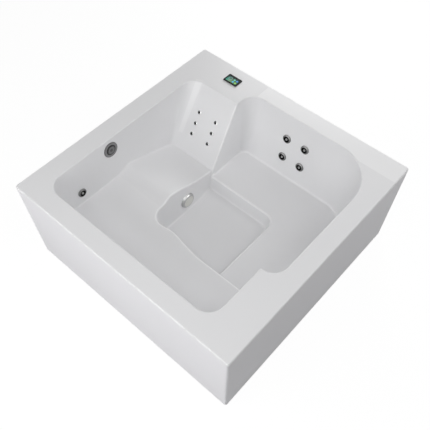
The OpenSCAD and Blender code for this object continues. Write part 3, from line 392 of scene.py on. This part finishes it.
def jet_spot(i):
    """Middle of hydro jet i on its wall, in millimetres, and the way it faces."""
    if i == 1:
        z = LONE_JET_Z
        spot, way = (LEFT + (RIM_Z - z) * SIDE_DRAFT, LONE_JET_Y, z), (1, 0, SIDE_DRAFT)
    else:
        z = JET_Z - (i - 2) // 2 * JET_STEP
        spot, way = (JET_X + i % 2 * JET_STEP, BACK - (RIM_Z - z) * BACK_DRAFT, z), (0, -1, BACK_DRAFT)
    return np.array(spot), np.array(way) / np.hypot(1, way[2])


def small_jet_spots():
    """Middles of the six small jets on the backrest."""
    for column in (0, 1):
        for row in range(3):
            z = SMALL_JET_Z - SMALL_STEP_Z * row
            yield np.array((SMALL_JET_X + SMALL_STEP_X * column, HEAD_Y - (RIM_Z - z) * LEAN, z))


JET_BORE_R, SMALL_BORE_R, OVERFLOW_BORE_R, BORE_REACH = 26.0, 9.0, 30.0, 14.0
OVERFLOW_Y, OVERFLOW_Z = -236.0, 649.0
backrest_way = np.array((0, -math.cos(LEAN_TURN), math.sin(LEAN_TURN)))
wall_way = np.array((1, 0, SIDE_DRAFT)) / math.hypot(1, SIDE_DRAFT)
overflow_spot = np.array((LEFT + (RIM_Z - OVERFLOW_Z) * SIDE_DRAFT, OVERFLOW_Y, OVERFLOW_Z))
bores = [(*jet_spot(i), JET_BORE_R) for i in range(1, 6)]
bores += [(spot, backrest_way, SMALL_BORE_R) for spot in small_jet_spots()]
bores += [(overflow_spot, wall_way, OVERFLOW_BORE_R)]

fine, coarse = ((5.0, 20.0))
xs = lines([-912, -880, LEFT, BAY_LEFT, WELL_LEFT, WELL_RIGHT, BLOCK_X, RIGHT, 880, 912], coarse, fine, 26)
ys = lines([-912, -880, FRONT, EDGE_Y, BLOCK_Y, BENCH_Y, SEAT_Y, HEAD_Y, 680, BACK, 880, 912],
           coarse, fine, 26)
zs = lines([105, FLOOR_Z, BENCH_Z, SEAT_Z, PLATFORM_Z, KNEE_Z, 722, RIM_Z, 750], coarse, fine, 16)
field = tub_solid(xs[:, None, None], ys[None, :, None], zs[None, None, :])
points, quads = surface_net(field, xs, ys, zs)
del field
points = pull_onto(tub_solid, points)
outer = np.maximum(abs(points[:, 0]), abs(points[:, 1])) > HALF - 30
lip = outer & (abs(points[:, 2] - LIP_Z) < fine * 0.75)
points[lip, 2] = LIP_Z
middles = points[quads].mean(1)
drop = (outer[quads].all(1)) & (points[quads][:, :, 2].min(1) < LIP_Z - 0.1)
for spot, way, r in bores:
    off = middles - spot
    along = off @ way
    drop |= (np.linalg.norm(off - along[:, None] * way, axis=1) < r) & (abs(along) < BORE_REACH)
quads = quads[~drop]
used, quads = np.unique(quads, return_inverse=True)
quads = quads.reshape(-1, 4)
points = points[used]
normals = slope_of(tub_solid, points)
normals /= np.linalg.norm(normals, axis=1)[:, None]
edges = np.concatenate([quads[:, [k, (k + 1) % 4]] for k in range(4)])
key = edges[:, 0].astype(np.int64) * len(points) + edges[:, 1]
mirror = edges[:, 1].astype(np.int64) * len(points) + edges[:, 0]
border = edges[~np.isin(key, mirror)]
n = len(points)
under = points - normals * SHELL_T
bridge = np.stack([border[:, 1], border[:, 0], border[:, 0] + n, border[:, 1] + n], 1)
skin = new_piece(
    "shell_skin",
    (np.concatenate([points, under]) / 1000).tolist(),
    np.concatenate([quads, quads[:, ::-1] + n, bridge]).tolist(),
    acrylic, "tub",
    normals=np.concatenate([normals, -normals]).tolist())
# Edges and the foot of the low walls are marked for the acrylic's painted highlight.
edge = skin.data.attributes.new("edge", "FLOAT", "POINT")
edge.data.foreach_set("value", np.tile(sharpness(tub_solid, points), 2).astype(np.float32))
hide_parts("tub_shell")

# The skirt is four acrylic faced panels with ribs and flanges behind. Each is
# clipped to the frame and rounds half of a corner with its neighbour.


def dress(made, slot, *nodes):
    """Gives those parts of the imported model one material."""
    for name in nodes:
        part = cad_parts[name]
        part.data.materials.clear()
        part.data.materials.append(made)


skirt, at = finish("skirt_panel", Specular_IOR_Level=0.08)
feed(skirt,
     Base_Color=at.noise(0.4, 3).mix((0.855, 0.85, 0.875, 1), (0.875, 0.87, 0.895, 1)),
     Roughness=0.36 + 0.1 * at.noise(0.1, 3),
     Normal=at.bump(at.noise(0.04, 2), 0.0002, 0.3))
dress(skirt, "skirt", "front_panel", "back_panel", "left_panel", "right_panel")

# The frame is welded from square steel tube and dipped in zinc, whose spangle shows.
# Its floor bearers and the angle clips that hold the panels are made the same way.
zinc, at = finish("galvanised_steel", Metallic=1.0)
spangle = at.node("ShaderNodeTexVoronoi", {}, {"Vector": at.place(), "Scale": 90.0}, 1)
feed(zinc,
     Base_Color=spangle.mix((0.50, 0.52, 0.54, 1), (0.66, 0.68, 0.70, 1)),
     Roughness=0.35 + 0.2 * at.noise(0.03, 3))
dress(zinc, "galvanised", "bottom_rails", "top_rails", "uprights", "floor_bearers", "panel_clips")

# The feet's studs and nuts, the heater's tube and the pump's shaft are turned from
# stainless steel, with fine marks of the tool.
steel, at = finish("turned_steel", Metallic=1.0)
feed(steel,
     Base_Color=at.noise(0.01, 4).mix((0.60, 0.60, 0.62, 1), (0.72, 0.72, 0.74, 1)),
     Roughness=0.22 + 0.2 * at.noise(0.004, 3))
dress(steel, "steel", "foot_studs", "foot_nuts", "pump_shaft", "heater")

# The pads under the feet and the gaskets behind the jets are moulded from grey rubber
# with a dull skin. The pads sit on the lower ends of the studs.


def gray(value):
    """A gray from 0, black, to 1, white."""
    return (value, value, value, 1)


rubber, at = finish("grey_rubber")
feed(rubber,
     Base_Color=at.noise(0.01, 3).mix(gray(0.03), gray(0.05)),
     Roughness=0.7 + 0.2 * at.noise(0.005, 3),
     Normal=at.bump(at.noise(0.002, 2), 0.0003, 0.5))
dress(rubber, "rubber_grey", "foot_pads", "hydro_jet_gaskets")

# The floor board and the equipment board are birch plywood with the grain along the
# tub's width. They rest on the bearers and carry the pump, the blower and the box.
ply, at = finish("birch_plywood")
grain = at.node("ShaderNodeTexNoise", {}, {
    "Vector": at.node("ShaderNodeMapping", {}, {"Vector": at.place(), "Scale": (2, 40, 40)}),
    "Scale": 3.0, "Detail": 4.0})
feed(ply,
     Base_Color=grain.mix((0.52, 0.36, 0.20, 1), (0.72, 0.54, 0.34, 1)),
     Roughness=0.55 + 0.2 * grain,
     Normal=at.bump(grain, 0.0003, 0.5))
dress(ply, "board", "floor_board", "equipment_board")

# Pipes, manifold, valve and the bodies and nuts behind the wall are rigid white
# plastic, a little chalky. The pipes are glued into their elbows.
pvc, at = finish("white_pipe_plastic")
feed(pvc,
     Base_Color=at.noise(0.05, 3).mix((0.74, 0.74, 0.72, 1), (0.80, 0.80, 0.78, 1)),
     Roughness=0.35 + 0.15 * at.noise(0.02, 3))
dress(pvc, "white_pvc", "hydro_jet_nuts", *[f"hydro_jet_{i}_body" for i in range(1, 6)],
      "backrest_jet_nuts", "backrest_manifold", "overflow_body", "overflow_nut",
      "suction_body", "suction_nut", "water_pipes", "air_pipes", "drain_valve")

# The pump's wet end, its foot and fan cover and the whole blower are moulded from
# black plastic with a fine grain, and so are the cable gland and the panel's housing.
black, at = finish("black_plastic")
feed(black,
     Base_Color=at.noise(0.01, 3).mix(gray(0.012), gray(0.02)),
     Roughness=0.3 + 0.15 * at.noise(0.01, 3),
     Normal=at.bump(at.noise(0.0012, 2), 0.0001, 0.4))
dress(black, "dark_plastic", "touch_panel_housing", "pump_volute", "pump_impeller",
      "pump_fan_cover", "pump_base", "blower_housing", "blower_impeller", "cable_gland")

# The motor's finned metal case has dark blue grey paint. The drain valve's lever is
# red plastic and turns on the valve's stem.
paint, at = finish("motor_paint")
feed(paint,
     Base_Color=at.noise(0.02, 3).mix((0.05, 0.07, 0.10, 1), (0.08, 0.10, 0.14, 1)),
     Roughness=0.4 + 0.15 * at.noise(0.01, 3),
     Normal=at.bump(at.noise(0.003, 2), 0.0002, 0.5))
dress(paint, "motor_paint", "pump_motor")
red, at = finish("red_plastic")
feed(red,
     Base_Color=at.noise(0.01, 2).mix((0.45, 0.03, 0.02, 1), (0.55, 0.05, 0.03, 1)),
     Roughness=0.35 + 0.1 * at.noise(0.01, 2))
dress(red, "lever_red", "drain_lever")

# The control box is moulded from grey plastic and stands on the equipment board.
# A lid with four screws closes it.
grey, at = finish("grey_plastic")
feed(grey,
     Base_Color=at.noise(0.02, 3).mix(gray(0.22), gray(0.28)),
     Roughness=0.35 + 0.15 * at.noise(0.01, 3))
dress(grey, "grey_plastic", "control_box", "control_box_lid")

# The overflow is a grey moulding of rings. Its cap stands in a recess that takes the water in all round; the
# recess is painted near black as shade, and a thin darker line painted round the outer edge is shade too.
ROSETTE_R = 0.058
rosette, at = finish("overflow_plastic")
off = at.off_axis(overflow_spot / 1000, wall_way) / ROSETTE_R
feed(rosette,
     # The near black ring of the ramp is the painted shade of the recess, and its last dark stop is the
     # painted shade line round the edge.
     Base_Color=(off + 0.02 * at.noise(0.004, 2)).ramp(
         (0.0, (0.08, 0.08, 0.082)), (0.20, (0.09, 0.09, 0.092)), (0.25, (0.17, 0.17, 0.175)),
         (0.42, (0.18, 0.18, 0.185)), (0.50, (0.10, 0.10, 0.102)), (0.60, (0.03, 0.03, 0.03)),
         (0.66, (0.03, 0.03, 0.03)), (0.72, (0.25, 0.25, 0.255)), (0.92, (0.23, 0.23, 0.235)),
         (0.97, (0.12, 0.12, 0.122))),
     Roughness=0.35 + 0.15 * at.noise(0.01, 3))
dress(rosette, "grey_plastic", "overflow_rosette")

# A hydro jet's bezel is moulded plastic, dark plated on its cone and left black in
# the bowl where the eyeball sits. It turns to open and close the jet.


def off_nearest(at, axes):
    """How far a point lies from the nearest of those axes, in metres."""
    nearest = None
    for spot, way in axes:
        off = at.off_axis(spot / 1000, way)
        nearest = off if nearest is None else nearest.least(off)
    return nearest


jet_axes = [jet_spot(i) for i in range(1, 6)]
bezel, at = finish("jet_bezel", Specular_IOR_Level=0.03)
bowl = off_nearest(at, jet_axes).within(0.0236, 0.001)
feed(bezel,
     Base_Color=bowl.mix(at.noise(0.01, 3).mix(gray(0.20), gray(0.26)), gray(0.006)),
     Metallic=1 - bowl,
     Roughness=0.42 + 0.12 * at.noise(0.003, 3) + 0.1 * bowl)
dress(bezel, "plated", *[f"hydro_jet_{i}_bezel" for i in range(1, 6)])

# The eyeball is a black plastic ball with a pale ring moulded round its bore. It
# snaps into the bezel's bowl and tilts there.
eyeball, at = finish("jet_eyeball", Specular_IOR_Level=0.06)
lip_ring = off_nearest(at, jet_axes).within(0.0078, 0.0008)
feed(eyeball,
     Base_Color=lip_ring.mix(gray(0.006), at.noise(0.003, 2).mix(gray(0.55), gray(0.65))),
     Roughness=0.45 + 0.1 * at.noise(0.005, 2))
dress(eyeball, "dark_plastic", *[f"hydro_jet_{i}_nozzle" for i in range(1, 6)])

# The small jets of the backrest are plated rings round a black face. The black is set off to one side as
# painted shade, so the plated ring shows as a crescent.
small, at = finish("backrest_jet_trim")
# The dark face's middle is moved 2.5 mm aside, which paints shade on one side of the ring.
black_face_and_shade_axes = [(spot - (2.5, 0, 0), backrest_way) for spot in small_jet_spots()]
black_face_and_shade = off_nearest(at, black_face_and_shade_axes).within(0.0118, 0.0012)
feed(small,
     Base_Color=black_face_and_shade.mix(at.noise(0.004, 2).mix(gray(0.66), gray(0.74)), gray(0.01)),
     Metallic=0.8 * (1 - black_face_and_shade),
     Roughness=0.22 + 0.08 * at.noise(0.003, 3))
dress(small, "plated", "backrest_jets")

# The suction cover is a plated ring with side slots round a flat plate of warm grey
# plastic, which hides the screws.
SUCTION_Y, SUCTION_Z, PLATE_R = 22.0, 228.0, 0.0455
suction_spot = np.array((WELL_LEFT + (BENCH_Z - SUCTION_Z) * FOOT_DRAFT, SUCTION_Y, SUCTION_Z))
suction_way = np.array((1, 0, FOOT_DRAFT))
cover, at = finish("suction_trim")
plate = at.off_axis(suction_spot / 1000, suction_way).within(PLATE_R, 0.001)
feed(cover,
     Base_Color=plate.mix(at.noise(0.01, 3).mix(gray(0.50), gray(0.60)),
                          at.noise(0.01, 3).mix((0.70, 0.70, 0.66, 1), (0.76, 0.76, 0.72, 1))),
     Metallic=1 - plate,
     Roughness=0.3 + 0.08 * at.noise(0.003, 3) + 0.2 * plate)
dress(cover, "plated", "suction_cover")

# The touch panel is a slab with a black face and a pale edge. Its screen shows a
# dark teal field with a plain dial and four round buttons, with no sign on them.
SCREEN_X, SCREEN_Y, FACE_Z = -0.503, 0.766, 0.7462
slab, at = finish("panel_slab", Specular_IOR_Level=0.02)
x, y, z = at.split()
face = (FACE_Z - z).within(0, 0.0004)
feed(slab,
     Base_Color=face.mix(at.noise(0.01, 2).mix(gray(0.30), gray(0.36)), gray(0.006)),
     Roughness=0.22 + 0.1 * at.noise(0.004, 2))
dress(slab, "dark_plastic", "touch_panel_bezel")

glass, at = finish("screen_glass", Roughness=0.3, Specular_IOR_Level=0.1, Emission_Strength=0.9)
x, y, z = at.split()
u, v = x - SCREEN_X, y - SCREEN_Y
near_side = (u / 0.096 + 0.5).ramp((0.0, (0.02, 0.36, 0.26)), (0.33, (0.22, 0.38, 0.24)),
                                   (0.52, (0.16, 0.30, 0.10)), (1.0, (0.01, 0.16, 0.08)))
field = (v / 0.054 + 0.5).within(0.5, 0.9).mix((0.0, 0.015, 0.016, 1), near_side)


def disc(u, v, centre, radius, soft=0.003):
    """1 on a round spot of the screen and 0 off it."""
    return (((u - centre[0]) ** 2 + (v - centre[1]) ** 2) ** 0.5).within(radius, soft)


DIAL = (-0.023, 0.004)
dial = disc(u, v, DIAL, 0.016) - disc(u, v, DIAL, 0.011)
shown = (0.6 * dial).mix(field, (0.30, 0.55, 0.52, 1))
for centre, tint in (((0.012, 0.008), (0.18, 0.72, 0.50, 1)),
                     ((0.0354, 0.0075), (0.10, 0.32, 0.80, 1)),
                     ((0.0126, -0.014), (0.12, 0.56, 0.84, 1)),
                     ((0.0353, -0.0152), (0.36, 0.70, 0.14, 1))):
    shown = disc(u, v, centre, 0.0082).mix(shown, tint)
lit = abs(u).within(0.048, 0.001) * abs(v).within(0.027, 0.001)
feed(glass,
     Base_Color=lit.mix(gray(0.004), gray(0.01)),
     Emission_Color=lit.mix(gray(0), shown))
dress(glass, "screen_glass", "touch_panel_glass")

# The floor and the air around are white to the camera and in the shine of the
# fittings. The floor keeps a part of its real shade, so that the tub's shadow shows.
# To everything else it is a darker paper, as under a studio table.
paper = bpy.data.materials.new("paper_floor")
paper.use_nodes = True
paper.node_tree.nodes.clear()
at = Socket(paper.node_tree)


def seen_directly(at):
    """1 for rays from the camera, off a shiny surface or through glass."""
    path = [at.node("ShaderNodeLightPath", output=name) for name in
            ("Is Camera Ray", "Is Glossy Ray", "Is Transmission Ray")]
    return at.node("ShaderNodeClamp", {}, {0: path[0] + path[1] + path[2]})


dark_paper = at.node("ShaderNodeBsdfDiffuse", {}, {"Color": gray(0.42)})
shade = at.node("ShaderNodeBsdfDiffuse", {}, {"Color": gray(0.95)})
white = at.node("ShaderNodeEmission", {}, {"Color": gray(1), "Strength": 1.03})
pale_paper = at.node("ShaderNodeMixShader", {}, {0: 0.92, 1: shade, 2: white})
mixed = at.node("ShaderNodeMixShader", {}, {0: seen_directly(at), 1: dark_paper, 2: pale_paper})
paper_out = paper.node_tree.nodes.new("ShaderNodeOutputMaterial")
paper.node_tree.links.new(mixed.output, paper_out.inputs["Surface"])
floor_mesh = bpy.data.meshes.new("floor")
SPAN = 30.0
floor_mesh.from_pydata([(-SPAN, -SPAN, 0), (SPAN, -SPAN, 0), (SPAN, SPAN, 0), (-SPAN, SPAN, 0)],
                       [], [(0, 1, 2, 3)])
floor_mesh.materials.append(paper)
floor = bpy.data.objects.new("floor", floor_mesh)
scene.collection.objects.link(floor)

world = bpy.data.worlds.new("air")
scene.world = world
world.use_nodes = True
at = Socket(world.node_tree)
shine = seen_directly(at)
backdrop = world.node_tree.nodes["Background"]
world.node_tree.links.new((0.1 + shine * 0.9).output, backdrop.inputs["Strength"])
backdrop.inputs["Color"].default_value = gray(1)

# Soft boxes stand round the tub, most of them in front. Each has its turn from the
# right and its rise in degrees, its height in metres and its power in watts.
BOX_W, BOX_AWAY, AIM = 2.2, 4.5, Vector((0, 0, 0.5))
for name, turn, rise, high, watts in (
        ("low_front_light", 270, 6, 1.2, 16), ("front_left_light", 248, 24, 2.2, 43),
        ("front_right_light", 292, 24, 2.2, 43.8), ("high_front_light", 270, 62, 2.2, 37.4),
        ("right_light", 22, 24, 2.2, 11), ("back_right_light", 45, 42, 2.2, 29.5),
        ("high_back_light", 30, 62, 2.2, 18.2), ("back_left_light", 112, 24, 2.2, 61)):
    data = bpy.data.lights.new(name, "AREA")
    data.shape = "RECTANGLE"
    data.size, data.size_y, data.energy = BOX_W, high, watts
    lamp = bpy.data.objects.new(name, data)
    turn, rise = math.radians(turn), math.radians(rise)
    way = Vector((math.cos(rise) * math.cos(turn), math.cos(rise) * math.sin(turn), math.sin(rise)))
    lamp.location = AIM + BOX_AWAY * way
    lamp.rotation_mode = "QUATERNION"
    lamp.rotation_quaternion = way.to_track_quat("Z", "Y")
    scene.collection.objects.link(lamp)
